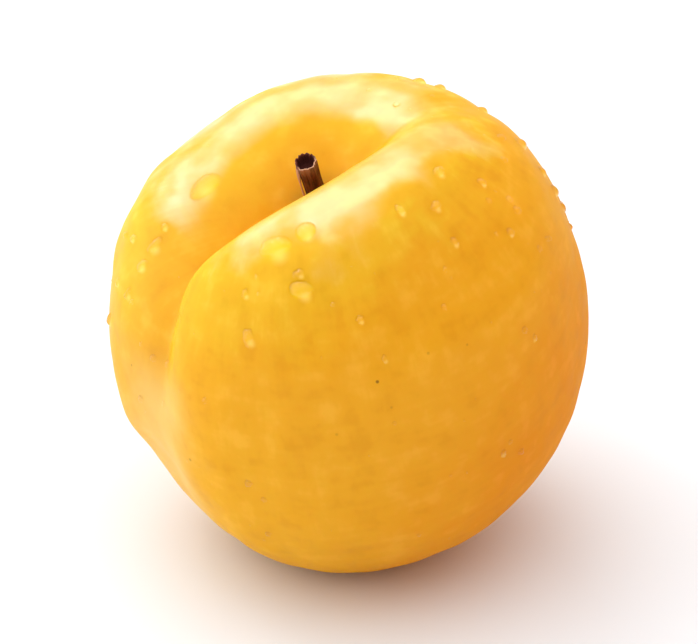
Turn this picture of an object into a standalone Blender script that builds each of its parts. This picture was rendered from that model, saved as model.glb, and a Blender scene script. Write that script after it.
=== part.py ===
"""A yellow plum, as picked, with the cut stub of its stalk.

The fruit is one solid. Its skin is a distance from the middle for every direction: a round body, a
deep stalk cavity, a suture that runs out of the cavity between two unequal lobes and fades towards
the blossom end, and a small flat spot that it rests on. The stalk is a turned piece that stands in
the cavity on a round foot and widens a little at its cut, hollow end.

Metres, +Z up. The fruit leans on its flat spot, so its own axes (+X out through the suture, +Z out
through the stalk) are carried by an empty, and the origin is the bottom centre of the whole plum.
"""

import math

import bmesh
import bpy
import numpy as np
from mathutils import Matrix, Vector

NAME = "plum"

# How the plum lies, in degrees.
LEAN = 13.4  # of the stalk axis from upright
LEAN_TOWARD = -139.0  # the way it leans, counted from +X
SUTURE_TURN = -5.6  # turn of the suture about the stalk axis

# Body of the fruit, in metres.
MEAN_RADIUS = 0.0273
SHOULDER_FULLNESS = 0.0436  # of the radius, halfway to either end
BLOSSOM_DIMPLE = 0.00033
BLOSSOM_WIDTH = 14.0  # degrees
FLAT_SPOT_HEIGHT = 0.0005  # cut off the lowest point

# Stalk cavity, a trough: depth in metres, reach in degrees from the stalk axis. It reaches less far
# across, the first value beside the stalk and the second where it runs out into the suture.
CAVITY_DEPTH = 0.0126
CAVITY_TO_SUTURE = 40.7
CAVITY_TO_BACK = 22.0
CAVITY_TO_FULL_LOBE = (10.2, 4.4)
CAVITY_TO_SLIM_LOBE = (23.6, 13.0)
CAVITY_NARROWS = 50.0
CAVITY_ROUNDING = 6.0
CAVITY_END = 2.6  # how squarely it ends towards the suture
FLOOR_FILL = 0.0010  # raises the floor of the cavity to a small level pad
FLOOR_WIDTH = 7.0

# Shoulders of the lobes: height in metres, place and width in degrees from the stalk axis.
FULL_SHOULDER = (0.0014, 29.7, 13.6)
SLIM_SHOULDER = (0.0004, 38.0, 14.0)

# Suture: depths and widths in metres, places in degrees from the stalk axis.
FOLDS_START = 25.0
GROOVE_DEPTH = 0.0030
GROOVE_WIDTH = 0.0024
GROOVE_FADES = (38.0, 90.0)
VALLEY_DEPTH = 0.0012
VALLEY_WIDTH = 0.0065
VALLEY_RISES = (10.0, 40.0)
VALLEY_FADES = (100.0, 150.0)
CREASE_DEPTH = 0.00012
CREASE_WIDTH = 0.0006
CREASE_FADES = (50.0, 100.0)
# Where the suture swings aside: degrees that it swings, place and width in degrees from the stalk axis.
BENDS = ((5.2, 46.4, 16.4), (5.0, 104.0, 22.0))
BACK_GROOVE_DEPTH = 0.0008
BACK_GROOVE_WIDTH = 0.0045
BACK_GROOVE_REACH = 60.0

# Where the fruit grew a little flatter or fuller: polar angle, turn, width in degrees, and height.
SWELLINGS = (
    (127.0, 116.0, 34.0, -0.0007),
    (89.0, 122.0, 20.0, -0.0005),
    (57.0, -178.0, 26.0, 0.0006),
    (95.0, -19.0, 9.0, 0.0005),
    (98.0, -20.0, 6.0, 0.0003),
    (105.0, -6.0, 8.0, -0.0003),
    (116.0, -15.0, 10.0, -0.0005),
    (45.0, -78.0, 12.0, -0.0006),
    (52.0, -66.0, 5.0, 0.0002),
    (55.0, -54.0, 9.0, -0.0003),
)

# Mesh of the fruit: more meridians gather at the suture and more rings at the stalk.
MERIDIANS = 64
RINGS = 40
GATHER_MERIDIANS = 0.45
GATHER_RINGS = 0.30
SHORTEST_EDGE = 0.0001

# Stalk, in metres and degrees.
STALK_GAP = 0.0003  # between the foot of the stalk and the fruit
STALK_LENGTH = 0.0085
STALK_LEAN = 11.7  # from the axis of the fruit
STALK_LEAN_TOWARD = 40.7  # the way it leans, counted from the suture
FOOT_RADIUS = 0.00095
FOOT_ROUND = 0.0009
FOOT_HEIGHT = 0.0020
FOOT_STEPS = 4
SHAFT_RADIUS = 0.0010
FLARE_RADIUS = 0.0012
FLARE_HEIGHT = 0.0020
HOLLOW_RADIUS = 0.0008
HOLLOW_DEPTH = 0.0010
RIM_ROUND = 0.0001
STALK_SIDES = 24
SEATING_STEPS = 12


def ease(low, high, value):
    """0 up to low, 1 from high on, and a smooth rise between them."""
    t = np.clip((value - low) / (high - low), 0.0, 1.0)
    return t * t * (3.0 - 2.0 * t)


def bell(offset, width):
    """1 where the offset is nothing, and nearly 0 from two widths on."""
    return np.exp(-((offset / width) ** 2))


def between(ends, share):
    """A value between the two ends."""
    return ends[0] + (ends[1] - ends[0]) * share


def cavity(degrees, turn, bend):
    """Depth of the stalk cavity, which is steep under the full lobe and opens towards the suture."""
    along = degrees * np.cos(turn)
    across = degrees * np.sin(turn) + bend
    toward_suture = np.exp(-(np.abs(along / CAVITY_TO_SUTURE) ** CAVITY_END))
    share = np.where(along > 0.0, toward_suture, bell(along, CAVITY_TO_BACK))
    narrowing = ease(0.0, CAVITY_NARROWS, along)
    reach = between(
        (between(CAVITY_TO_SLIM_LOBE, narrowing), between(CAVITY_TO_FULL_LOBE, narrowing)),
        ease(-CAVITY_ROUNDING, CAVITY_ROUNDING, across),
    )
    return CAVITY_DEPTH * share * bell(across, reach) - FLOOR_FILL * bell(degrees, FLOOR_WIDTH)


def shoulders(degrees, turn):
    """Height of the shoulders, where the two lobes stand highest beside the cavity."""
    height = np.zeros_like(degrees)
    for (swell, place, width), side in ((FULL_SHOULDER, 1.0), (SLIM_SHOULDER, -1.0)):
        height += swell * np.clip(side * np.sin(turn), 0.0, 1.0) ** 1.5 * bell(degrees - place, width)
    return height


def suture(polar, degrees, turn, bend, front):
    """Depth of the suture in front, and of the faint furrow that runs down behind the cavity."""
    start = ease(0.0, FOLDS_START, degrees)
    away = MEAN_RADIUS * (np.sin(polar) * np.sin(turn) + np.radians(bend))
    groove = GROOVE_DEPTH * start * (1.0 - ease(*GROOVE_FADES, degrees))
    groove = groove / (1.0 + (away / GROOVE_WIDTH) ** 2)
    valley = VALLEY_DEPTH * ease(*VALLEY_RISES, degrees) * (1.0 - ease(*VALLEY_FADES, degrees))
    valley = valley * bell(away, VALLEY_WIDTH)
    crease = CREASE_DEPTH * start * (1.0 - ease(*CREASE_FADES, degrees))
    crease = crease * np.exp(-np.abs(away) / CREASE_WIDTH)
    back = BACK_GROOVE_DEPTH * start * ease(0.0, 0.5, -np.cos(turn))
    back = back * bell(degrees, BACK_GROOVE_REACH) / (1.0 + (away / BACK_GROOVE_WIDTH) ** 2)
    return front * (groove + valley + crease) + back


def swelling(polar, turn):
    """Height of the fuller and flatter places on the cheeks."""
    height = np.zeros_like(polar)
    for place, heading, width, swell in SWELLINGS:
        place = math.radians(place)
        cosine = np.cos(polar) * math.cos(place)
        cosine += np.sin(polar) * math.sin(place) * np.cos(turn - math.radians(heading))
        height += swell * bell(np.degrees(np.arccos(np.clip(cosine, -1.0, 1.0))), width)
    return height


def skin_radius(polar, turn):
    """Distance from the middle to the skin, for an angle from the stalk and a turn from the suture."""
    degrees = np.degrees(polar)
    front = ease(-0.45, 0.5, np.cos(turn))
    bend = front * sum(swing * bell(degrees - place, width) for swing, place, width in BENDS)
    radius = MEAN_RADIUS * (1.0 + SHOULDER_FULLNESS * np.sin(2.0 * polar) ** 2)
    radius -= BLOSSOM_DIMPLE * bell(180.0 - degrees, BLOSSOM_WIDTH)
    radius -= cavity(degrees, turn, bend)
    radius -= suture(polar, degrees, turn, bend, front)
    return radius + shoulders(degrees, turn) + swelling(polar, turn)


def shape_skin(mesh):
    """Moves the vertices of a unit sphere out to the skin."""
    points = np.array([vertex.co[:] for vertex in mesh.verts])
    polar = np.arccos(np.clip(points[:, 2], -1.0, 1.0))
    polar = polar - GATHER_RINGS * np.sin(polar)
    turn = np.arctan2(points[:, 1], points[:, 0])
    turn = turn - GATHER_MERIDIANS * np.sin(turn)
    radius = skin_radius(polar, turn)
    flat = radius * np.sin(polar)
    moved = np.stack([flat * np.cos(turn), flat * np.sin(turn), radius * np.cos(polar)], axis=1)
    for vertex, place in zip(mesh.verts, moved):
        vertex.co = place


def cut_flat_spot(mesh, up):
    """Cuts the small flat spot square to up, FLAT_SPOT_HEIGHT above the lowest point."""
    lowest = min(vertex.co.dot(up) for vertex in mesh.verts)
    plane = up * (lowest + FLAT_SPOT_HEIGHT)
    whole = mesh.verts[:] + mesh.edges[:] + mesh.faces[:]
    bmesh.ops.bisect_plane(mesh, geom=whole, dist=1e-5, plane_co=plane, plane_no=-up, clear_outer=True)
    open_edges = [edge for edge in mesh.edges if edge.is_boundary]
    bmesh.ops.holes_fill(mesh, edges=open_edges)
    bmesh.ops.remove_doubles(mesh, verts=mesh.verts[:], dist=SHORTEST_EDGE)
    flat_spot = max(mesh.faces, key=lambda face: len(face.verts))
    for vertex in flat_spot.verts:
        vertex.co += up * (plane - vertex.co).dot(up)
    bmesh.ops.recalc_face_normals(mesh, faces=mesh.faces[:])


def material(name, color, roughness):
    """A Principled material."""
    made = bpy.data.materials.new(name)
    made.use_nodes = True
    shader = made.node_tree.nodes["Principled BSDF"]
    shader.inputs["Base Color"].default_value = (*color, 1.0)
    shader.inputs["Roughness"].default_value = roughness
    shader.inputs["Metallic"].default_value = 0.0
    return made


def make_fruit(collection, holder, up):
    """The flesh and skin, one solid, in the axes of the fruit."""
    form = bmesh.new()
    bmesh.ops.create_uvsphere(form, u_segments=MERIDIANS, v_segments=RINGS, radius=1.0)
    shape_skin(form)
    cut_flat_spot(form, up)
    mesh = bpy.data.meshes.new("fruit")
    form.to_mesh(mesh)
    form.free()
    mesh.shade_smooth()
    mesh.materials.append(material("yellow_skin", (0.93, 0.47, 0.05), 0.32))
    fruit = bpy.data.objects.new("fruit", mesh)
    fruit.parent = holder
    collection.objects.link(fruit)
    return fruit


def stalk_profile():
    """Half section of the stalk: the floor of its hollow end, its rim, its side and its round foot."""
    top = STALK_LENGTH
    turns = [math.pi / 2.0 * step / FOOT_STEPS for step in range(FOOT_STEPS + 1)]
    foot = [(FOOT_RADIUS * math.cos(t), FOOT_ROUND * (1.0 - math.sin(t))) for t in turns]
    return [
        (0.0, top - HOLLOW_DEPTH),
        (HOLLOW_RADIUS - RIM_ROUND, top - HOLLOW_DEPTH),
        (HOLLOW_RADIUS, top - RIM_ROUND),
        (HOLLOW_RADIUS + RIM_ROUND, top),
        (FLARE_RADIUS - RIM_ROUND, top),
        (FLARE_RADIUS, top - RIM_ROUND),
        ((FLARE_RADIUS + SHAFT_RADIUS) / 2.0, top - FLARE_HEIGHT / 2.0),
        (SHAFT_RADIUS, top - FLARE_HEIGHT),
        (SHAFT_RADIUS, FOOT_HEIGHT),
        *foot[:-1],
        (0.0, 0.0),
    ]


def seat_height(tilt):
    """Height on the axis of the fruit at which the leaning stalk clears the cavity by STALK_GAP."""
    around = np.linspace(0.0, 2.0 * math.pi, STALK_SIDES, endpoint=False)
    ring = np.stack([np.cos(around), np.sin(around)], axis=1)
    rings = [np.column_stack([ring * across, np.full(STALK_SIDES, up)]) for across, up in stalk_profile()]
    points = np.vstack(rings) @ np.array(tilt).T
    height = MEAN_RADIUS
    for _ in range(SEATING_STEPS):
        placed = points + (0.0, 0.0, height)
        reach = np.linalg.norm(placed, axis=1)
        skin = skin_radius(np.arccos(placed[:, 2] / reach), np.arctan2(placed[:, 1], placed[:, 0]))
        height += STALK_GAP - (reach - skin).min()
    return height


def make_stalk(collection, holder):
    """The cut stub of the stalk, a turned solid that stands in the bottom of the cavity."""
    points = [(across, 0.0, height) for across, height in stalk_profile()]
    mesh = bpy.data.meshes.new("stem")
    mesh.from_pydata(points, [(i, i + 1) for i in range(len(points) - 1)], [])
    mesh.materials.append(material("brown_bark", (0.13, 0.032, 0.010), 0.6))
    stalk = bpy.data.objects.new("stem", mesh)
    turned = stalk.modifiers.new("turned", "SCREW")
    turned.steps = STALK_SIDES
    turned.render_steps = STALK_SIDES
    turned.use_merge_vertices = True
    turned.merge_threshold = 1e-5
    turned.use_smooth_shade = True
    heading = Matrix.Rotation(math.radians(STALK_LEAN_TOWARD), 3, "Z")
    tilt = heading @ Matrix.Rotation(math.radians(STALK_LEAN), 3, "Y")
    stalk.parent = holder
    stalk.matrix_local = Matrix.Translation((0.0, 0.0, seat_height(tilt))) @ tilt.to_4x4()
    collection.objects.link(stalk)
    return stalk


def lean():
    """Turn from the axes of the fruit to the way that the plum lies."""
    toward = Matrix.Rotation(math.radians(LEAN_TOWARD), 3, "Z")
    tilt = Matrix.Rotation(math.radians(LEAN), 3, "Y")
    turned = Matrix.Rotation(math.radians(SUTURE_TURN), 3, "Z")
    return toward @ tilt @ turned


def bottom_centre(objects):
    """Bottom centre of the box around the objects, as they are evaluated."""
    bpy.context.view_layer.update()
    graph = bpy.context.evaluated_depsgraph_get()
    corners = []
    for item in objects:
        evaluated = item.evaluated_get(graph)
        corners += [evaluated.matrix_world @ vertex.co for vertex in evaluated.data.vertices]
    low = Vector(min(corner[axis] for corner in corners) for axis in range(3))
    high = Vector(max(corner[axis] for corner in corners) for axis in range(3))
    return Vector(((low.x + high.x) / 2.0, (low.y + high.y) / 2.0, low.z))


def main():
    for item in list(bpy.data.objects):
        bpy.data.objects.remove(item)
    collection = bpy.data.collections.new(NAME)
    bpy.context.scene.collection.children.link(collection)
    holder = bpy.data.objects.new("plum_axes", None)
    holder.empty_display_size = MEAN_RADIUS
    collection.objects.link(holder)
    turn = lean()
    holder.matrix_world = turn.to_4x4()
    up = turn.transposed() @ Vector((0.0, 0.0, 1.0))
    pieces = [make_fruit(collection, holder, up), make_stalk(collection, holder)]
    holder.location = -bottom_centre(pieces)


main()
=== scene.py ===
"""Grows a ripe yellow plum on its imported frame: the fruit with its skin, the cut stalk and water drops.

The skin is a distance from the middle for every direction, in the axes of the fruit: +X out through
the suture, +Z out through the stalk. Metres throughout.
"""

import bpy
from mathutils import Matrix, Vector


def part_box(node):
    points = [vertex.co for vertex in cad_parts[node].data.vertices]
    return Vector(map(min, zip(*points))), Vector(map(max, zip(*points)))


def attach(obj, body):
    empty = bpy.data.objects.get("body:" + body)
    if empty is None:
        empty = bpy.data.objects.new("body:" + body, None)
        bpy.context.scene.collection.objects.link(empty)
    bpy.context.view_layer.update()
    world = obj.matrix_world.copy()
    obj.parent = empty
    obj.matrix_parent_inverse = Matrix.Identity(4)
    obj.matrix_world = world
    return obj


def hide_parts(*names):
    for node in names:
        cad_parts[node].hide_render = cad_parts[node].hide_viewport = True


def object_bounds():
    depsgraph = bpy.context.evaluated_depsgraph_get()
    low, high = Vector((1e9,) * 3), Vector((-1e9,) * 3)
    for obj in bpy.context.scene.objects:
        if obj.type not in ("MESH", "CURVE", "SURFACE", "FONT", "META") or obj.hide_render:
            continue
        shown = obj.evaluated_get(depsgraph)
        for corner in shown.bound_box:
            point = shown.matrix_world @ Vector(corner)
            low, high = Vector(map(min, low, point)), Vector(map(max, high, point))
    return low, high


bl_info = {
    "name": "Yellow Plum",
    "version": (1, 0, 0),
    "blender": (4, 5, 0),
    "location": "View3D > Sidebar > Plum",
    "description": "Grows a ripe yellow plum with its cut stalk and water drops",
    "category": "Add Mesh",
}

import math

import bmesh
import bpy
import numpy as np
from mathutils import Matrix, Vector

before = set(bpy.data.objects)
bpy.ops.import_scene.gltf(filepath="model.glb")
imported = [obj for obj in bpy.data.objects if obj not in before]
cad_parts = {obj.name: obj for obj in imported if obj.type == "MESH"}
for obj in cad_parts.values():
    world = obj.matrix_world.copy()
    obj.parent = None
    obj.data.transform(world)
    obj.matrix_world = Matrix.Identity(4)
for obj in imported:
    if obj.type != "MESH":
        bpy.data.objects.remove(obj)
CAD_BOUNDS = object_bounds()
FRUIT_LOW, FRUIT_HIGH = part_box("fruit")
STEM_LOW, STEM_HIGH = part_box("stem")

BODY = "root"

# How the plum lies, in degrees.
LEAN = 13.4  # of the stalk axis from upright
LEAN_TOWARD = -139.0  # the way it leans, counted from +X
SUTURE_TURN = -5.6  # turn of the suture about the stalk axis

# Body of the fruit, in metres and degrees.
MEAN_RADIUS = 0.0273
SHOULDER_FULLNESS = 0.0436  # of the radius, halfway to either end
BLOSSOM_DIMPLE = 0.00033
BLOSSOM_WIDTH = 14.0
FLAT_SPOT_HEIGHT = 0.0005
FLAT_SPOT_EDGE = 0.00015  # rounding where the flat spot starts

# Stalk cavity, a trough: depth in metres, reach in degrees from the stalk axis.
CAVITY_DEPTH = 0.0126
CAVITY_TO_SUTURE = 40.7
CAVITY_TO_BACK = 22.0
CAVITY_TO_FULL_LOBE = (10.2, 4.4)
CAVITY_TO_SLIM_LOBE = (23.6, 13.0)
CAVITY_NARROWS = 50.0
CAVITY_ROUNDING = 6.0
CAVITY_END = 2.6  # how suddenly it ends towards the suture
FLOOR_FILL = 0.0010
FLOOR_WIDTH = 7.0

# Shoulders of the lobes: height in metres, place and width in degrees from the stalk axis.
FULL_SHOULDER = (0.0014, 29.7, 13.6)
SLIM_SHOULDER = (0.0004, 38.0, 14.0)
SHOULDER_NARROWING = 1.5

# Suture: depths and widths in metres, places in degrees from the stalk axis.
FOLDS_START = 25.0
GROOVE_DEPTH = 0.0030
GROOVE_WIDTH = 0.0024
GROOVE_FADES = (38.0, 90.0)
VALLEY_DEPTH = 0.0012
VALLEY_WIDTH = 0.0065
VALLEY_RISES = (10.0, 40.0)
VALLEY_FADES = (100.0, 150.0)
CREASE_DEPTH = 0.00012
CREASE_WIDTH = 0.0006
CREASE_FADES = (50.0, 100.0)
# Where the suture swings aside: degrees that it swings, place and width in degrees from the stalk axis.
BENDS = ((5.2, 46.4, 16.4), (5.0, 104.0, 22.0))
FRONT_STARTS = (-0.45, 0.5)  # cosines of the turn between which the suture's side begins
BACK_STARTS = (0.0, 0.5)
BACK_GROOVE_DEPTH = 0.0008
BACK_GROOVE_WIDTH = 0.0045
BACK_GROOVE_REACH = 60.0

# Where the fruit grew a little flatter or fuller: polar angle, turn, width in degrees, and height.
SWELLINGS = (
    (127.0, 116.0, 34.0, -0.0007),
    (89.0, 122.0, 20.0, -0.0005),
    (57.0, -178.0, 26.0, 0.0006),
    (95.0, -19.0, 9.0, 0.0005),
    (98.0, -20.0, 6.0, 0.0003),
    (105.0, -6.0, 8.0, -0.0003),
    (116.0, -15.0, 10.0, -0.0005),
    (45.0, -78.0, 12.0, -0.0006),
    (52.0, -66.0, 5.0, 0.0002),
    (55.0, -54.0, 9.0, -0.0003),
)

# Mesh of the skin: more meridians gather at the suture and more rings at the stalk.
MERIDIANS = 400
RINGS = 236
GATHER_MERIDIANS = 0.45
GATHER_RINGS = 0.30
NEAR_END = 1e-6  # angle from either end of the fruit, in radians, at which its end point is taken

# Uneven growth of the skin: length and height of each kind of swell, in metres.
SWELLS = ((0.0130, 0.00010), (0.0070, 0.00006), (0.0040, 0.000030), (0.0022, 0.000007))
WAVES_IN_A_SWELL = 9
SWELL_SEED = 5

# Stalk, in degrees.
STALK_LEAN = 11.7  # from the axis of the fruit
STALK_LEAN_TOWARD = 40.7  # the way it leans, counted from the suture

# Stage, in metres, degrees and watts.
CAMERA_HEIGHT = 30.0
CAMERA_DISTANCE = 0.80
CAMERA_LENS = 362.7
SENSOR_WIDTH = 36.0
FLOOR_SPREAD = 3.0
WHITE = (1.0, 1.0, 1.0)
# Softboxes: name, share of the power, width and place.
SOFTBOXES = (
    ("overhead", 0.93, 0.60, (-0.26, 0.42, 0.56)),
    ("window", 0.07, 0.06, (-0.34, 0.16, 0.62)),
)
# Warm bounce of the next fruit: width, place and colour.
BOUNCE = (0.30, (0.46, -0.22, 0.10), (1.0, 0.50, 0.16))
# Light from all round: direction and colour.
SURROUND = (
    ((0.0, 0.0, 1.0), (1.82, 1.82, 1.82)),
    ((-1.0, 0.0, 0.0), (1.80, 1.85, 1.94)),
    ((0.0, 1.0, 0.0), (0.60, 0.60, 0.60)),
    ((1.0, 0.0, 0.0), (0.32, 0.13, 0.02)),
    ((0.0, -1.0, 0.0), (0.12, 0.06, 0.015)),
)


# --- the shape of the skin ---


def ease(low, high, value):
    """0 up to low, 1 from high on, and a smooth rise between them."""
    t = np.clip((value - low) / (high - low), 0.0, 1.0)
    return t * t * (3.0 - 2.0 * t)


def bell(offset, width):
    """1 where the offset is nothing, and nearly 0 from two widths on."""
    return np.exp(-((offset / width) ** 2))


def between(ends, share):
    """A value between the two ends."""
    return ends[0] + (ends[1] - ends[0]) * share


def cavity(degrees, turn, bend):
    """Depth of the stalk cavity, which is steep under the full lobe and opens towards the suture."""
    along = degrees * np.cos(turn)
    across = degrees * np.sin(turn) + bend
    toward_suture = np.exp(-(np.abs(along / CAVITY_TO_SUTURE) ** CAVITY_END))
    share = np.where(along > 0.0, toward_suture, bell(along, CAVITY_TO_BACK))
    narrowing = ease(0.0, CAVITY_NARROWS, along)
    reach = between(
        (between(CAVITY_TO_SLIM_LOBE, narrowing), between(CAVITY_TO_FULL_LOBE, narrowing)),
        ease(-CAVITY_ROUNDING, CAVITY_ROUNDING, across),
    )
    return CAVITY_DEPTH * share * bell(across, reach) - FLOOR_FILL * bell(degrees, FLOOR_WIDTH)


def shoulders(degrees, turn):
    """Height of the shoulders, where the two lobes stand highest beside the cavity."""
    height = np.zeros_like(degrees)
    for (swell, place, width), side in ((FULL_SHOULDER, 1.0), (SLIM_SHOULDER, -1.0)):
        facing = np.clip(side * np.sin(turn), 0.0, 1.0)
        height += swell * facing**SHOULDER_NARROWING * bell(degrees - place, width)
    return height


def suture(polar, degrees, turn, bend, front):
    """Depth of the suture in front, and of the faint furrow that runs down behind the cavity."""
    start = ease(0.0, FOLDS_START, degrees)
    away = MEAN_RADIUS * (np.sin(polar) * np.sin(turn) + np.radians(bend))
    groove = GROOVE_DEPTH * start * (1.0 - ease(*GROOVE_FADES, degrees))
    groove = groove / (1.0 + (away / GROOVE_WIDTH) ** 2)
    valley = VALLEY_DEPTH * ease(*VALLEY_RISES, degrees) * (1.0 - ease(*VALLEY_FADES, degrees))
    valley = valley * bell(away, VALLEY_WIDTH)
    crease = CREASE_DEPTH * start * (1.0 - ease(*CREASE_FADES, degrees))
    crease = crease * np.exp(-np.abs(away) / CREASE_WIDTH)
    back = BACK_GROOVE_DEPTH * start * ease(*BACK_STARTS, -np.cos(turn))
    back = back * bell(degrees, BACK_GROOVE_REACH) / (1.0 + (away / BACK_GROOVE_WIDTH) ** 2)
    return front * (groove + valley + crease) + back


def swelling(polar, turn):
    """Height of the fuller and flatter places on the cheeks."""
    height = np.zeros_like(polar)
    for place, heading, width, swell in SWELLINGS:
        place = math.radians(place)
        cosine = np.cos(polar) * math.cos(place)
        cosine += np.sin(polar) * math.sin(place) * np.cos(turn - math.radians(heading))
        height += swell * bell(np.degrees(np.arccos(np.clip(cosine, -1.0, 1.0))), width)
    return height


def hollows(polar, turn):
    """Depth of the cavity and of the folds that run out of it."""
    degrees = np.degrees(polar)
    front = ease(*FRONT_STARTS, np.cos(turn))
    bend = front * sum(swing * bell(degrees - place, width) for swing, place, width in BENDS)
    return cavity(degrees, turn, bend), suture(polar, degrees, turn, bend, front)


def skin_radius(polar, turn):
    """Distance from the middle to the skin, for an angle from the stalk and a turn from the suture."""
    degrees = np.degrees(polar)
    deep, fold = hollows(polar, turn)
    radius = MEAN_RADIUS * (1.0 + SHOULDER_FULLNESS * np.sin(2.0 * polar) ** 2)
    radius -= BLOSSOM_DIMPLE * bell(180.0 - degrees, BLOSSOM_WIDTH)
    return radius - deep - fold + shoulders(degrees, turn) + swelling(polar, turn)


def uneven(ways):
    """Height of the gentle swells that growing leaves, for unit vectors."""
    draw = np.random.RandomState(SWELL_SEED)
    height = np.zeros(ways.shape[:-1])
    for length, rise in SWELLS:
        for _ in range(WAVES_IN_A_SWELL):
            heading = draw.normal(size=3)
            heading *= 2.0 * math.pi * MEAN_RADIUS / length / np.linalg.norm(heading)
            phase = draw.uniform(0.0, 2.0 * math.pi)
            height += rise / math.sqrt(WAVES_IN_A_SWELL) * np.sin(ways @ heading + phase)
    return height


def unit(vector):
    """The vector at length 1."""
    return vector / np.linalg.norm(vector)


def directions(polar, turn):
    """Unit vectors for angles from the stalk and turns from the suture."""
    flat = np.sin(polar)
    return np.stack([flat * np.cos(turn), flat * np.sin(turn), np.cos(polar)], axis=-1)


def skin_points(polar, turn):
    """Points of the skin, in the axes of the fruit."""
    ways = directions(polar, turn)
    return ways * (skin_radius(polar, turn) + uneven(ways))[..., None]


def skin_along(ways):
    """Points of the skin along unit vectors."""
    polar = np.arccos(np.clip(ways[..., 2], -1.0, 1.0))
    return skin_points(polar, np.arctan2(ways[..., 1], ways[..., 0]))


def skin_point(polar, turn):
    """The point of the skin at an angle from the stalk and a turn from the suture, in degrees."""
    return skin_points(np.radians(polar), np.radians(turn))


def skin_grid():
    """Angles from the stalk and turns from the suture of the mesh, without its two ends."""
    polar = math.pi * np.arange(1, RINGS) / RINGS
    polar = polar - GATHER_RINGS * np.sin(polar)
    turn = 2.0 * math.pi * np.arange(MERIDIANS) / MERIDIANS
    turn = turn - GATHER_MERIDIANS * np.sin(turn)
    return np.meshgrid(polar, turn, indexing="ij")


def lean():
    """Turn from the axes of the fruit to the way that the plum lies."""
    toward = Matrix.Rotation(math.radians(LEAN_TOWARD), 3, "Z")
    tilt = Matrix.Rotation(math.radians(LEAN), 3, "Y")
    turned = Matrix.Rotation(math.radians(SUTURE_TURN), 3, "Z")
    return toward @ tilt @ turned


def in_fruit_axes(way):
    """A way in the world, as a unit vector in the axes of the fruit."""
    return np.array(lean()).T @ unit(np.array(way))


def stand(width):
    """Where the fruit stands on the frame at that width, and the level of its flat spot in its axes."""
    turn = lean()
    points = skin_points(*skin_grid()).reshape(-1, 3) @ np.array(turn).T
    low, high = points.min(axis=0), points.max(axis=0)
    level = low[2] + FLAT_SPOT_HEIGHT
    scale = width / (high[0] - low[0])
    middle = (FRUIT_LOW + FRUIT_HIGH) / 2.0
    corner = Vector((low[0] + high[0], low[1] + high[1], 2.0 * level)) * scale / 2.0
    place = Vector((middle.x, middle.y, FRUIT_LOW.z)) - corner
    return Matrix.Translation(place) @ turn.to_4x4() @ Matrix.Scale(scale, 4), level


def flatten(points, level):
    """Levels the points that lie under the flat spot, with a rounded edge."""
    up = np.array(lean())[2]
    height = points @ up - level
    rounded = (height + FLAT_SPOT_EDGE) ** 2 / (4.0 * FLAT_SPOT_EDGE)
    kept = np.where(height < -FLAT_SPOT_EDGE, 0.0, np.where(height > FLAT_SPOT_EDGE, height, rounded))
    return points + (kept - height)[..., None] * up


# --- shader nodes ---


class Value:
    """A shader socket that can stand in a sum."""

    def __init__(self, shader, socket):
        self.shader = shader
        self.socket = socket

    def math(self, operation, other):
        return self.shader.node("ShaderNodeMath", {"operation": operation}, {0: self, 1: other})

    def reflected(self, operation, other):
        return self.shader.node("ShaderNodeMath", {"operation": operation}, {0: other, 1: self})

    def __add__(self, other):
        return self.math("ADD", other)

    def __radd__(self, other):
        return self.reflected("ADD", other)

    def __sub__(self, other):
        return self.math("SUBTRACT", other)

    def __rsub__(self, other):
        return self.reflected("SUBTRACT", other)

    def __mul__(self, other):
        return self.math("MULTIPLY", other)

    def __rmul__(self, other):
        return self.reflected("MULTIPLY", other)


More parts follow.
